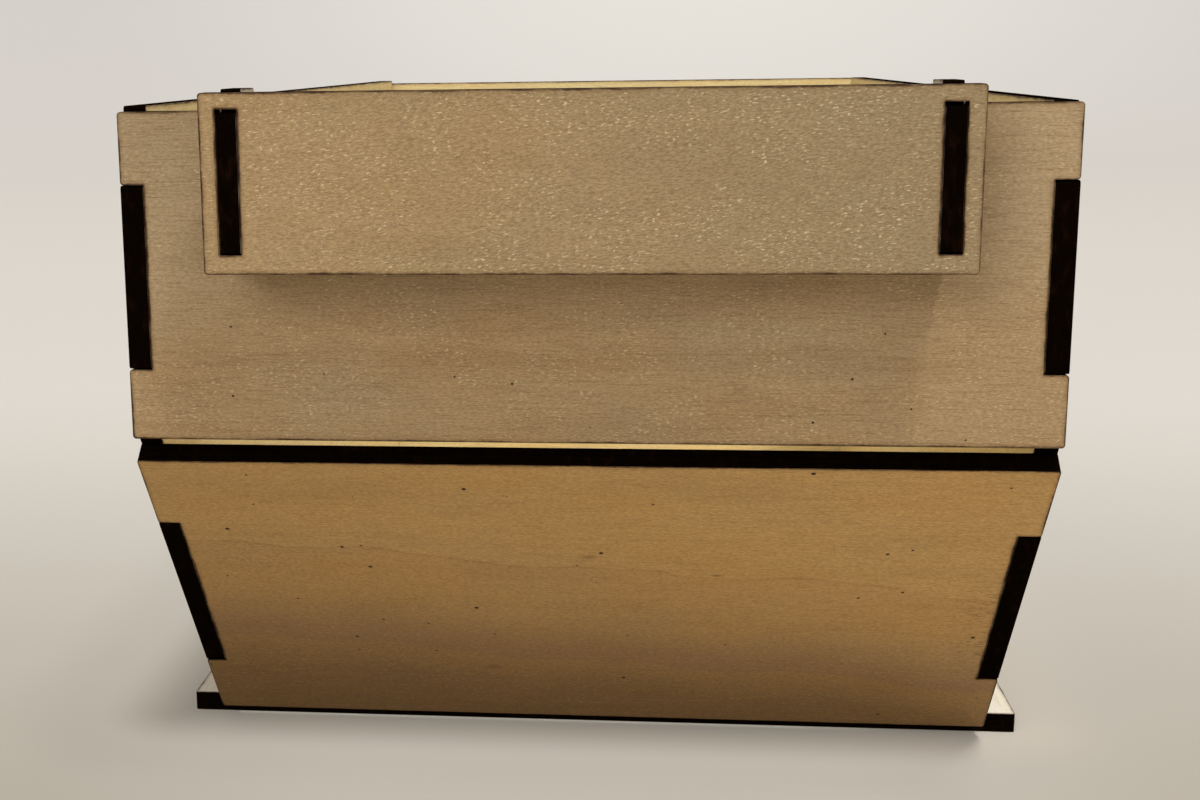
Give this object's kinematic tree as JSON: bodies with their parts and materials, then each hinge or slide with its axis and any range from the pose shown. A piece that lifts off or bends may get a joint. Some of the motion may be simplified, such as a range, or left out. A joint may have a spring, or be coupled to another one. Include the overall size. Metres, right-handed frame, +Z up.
{
  "type": "storage box",
  "caption": "Open-topped box of tabbed plywood with a two-part front, upright above and leaning inwards below, a wider base and a grip plate standing in front of the rim.",
  "frame": {"origin": "centre of the base's underside", "axes": "+Z up, -Y towards the front that carries the grip, +X to the right as seen from the front"},
  "size_m": [0.1744, 0.3191, 0.1348],
  "materials": {
    "base_plate": "bare birch plywood, satin faces with dark burnt edges",
    "left_wall": "bare birch plywood, satin faces with dark burnt edges",
    "right_wall": "bare birch plywood, satin faces with dark burnt edges",
    "upper_front_panel": "bare birch plywood, satin faces with dark burnt edges",
    "lower_front_panel": "bare birch plywood, satin faces with dark burnt edges",
    "back_panel": "bare birch plywood, satin faces with dark burnt edges",
    "grip_plate": "bare birch plywood, satin faces with dark burnt edges",
    "left_grip_board": "bare birch plywood, satin faces with dark burnt edges",
    "right_grip_board": "bare birch plywood, satin faces with dark burnt edges"
  },
  "bodies": {
    "root": {"base_plate": "base_plate", "left_wall": "left_wall", "right_wall": "right_wall", "upper_front_panel": "upper_front_panel", "lower_front_panel": "lower_front_panel", "back_panel": "back_panel", "grip_plate": "grip_plate", "left_grip_board": "left_grip_board", "right_grip_board": "right_grip_board"}
  },
  "joints": []
}
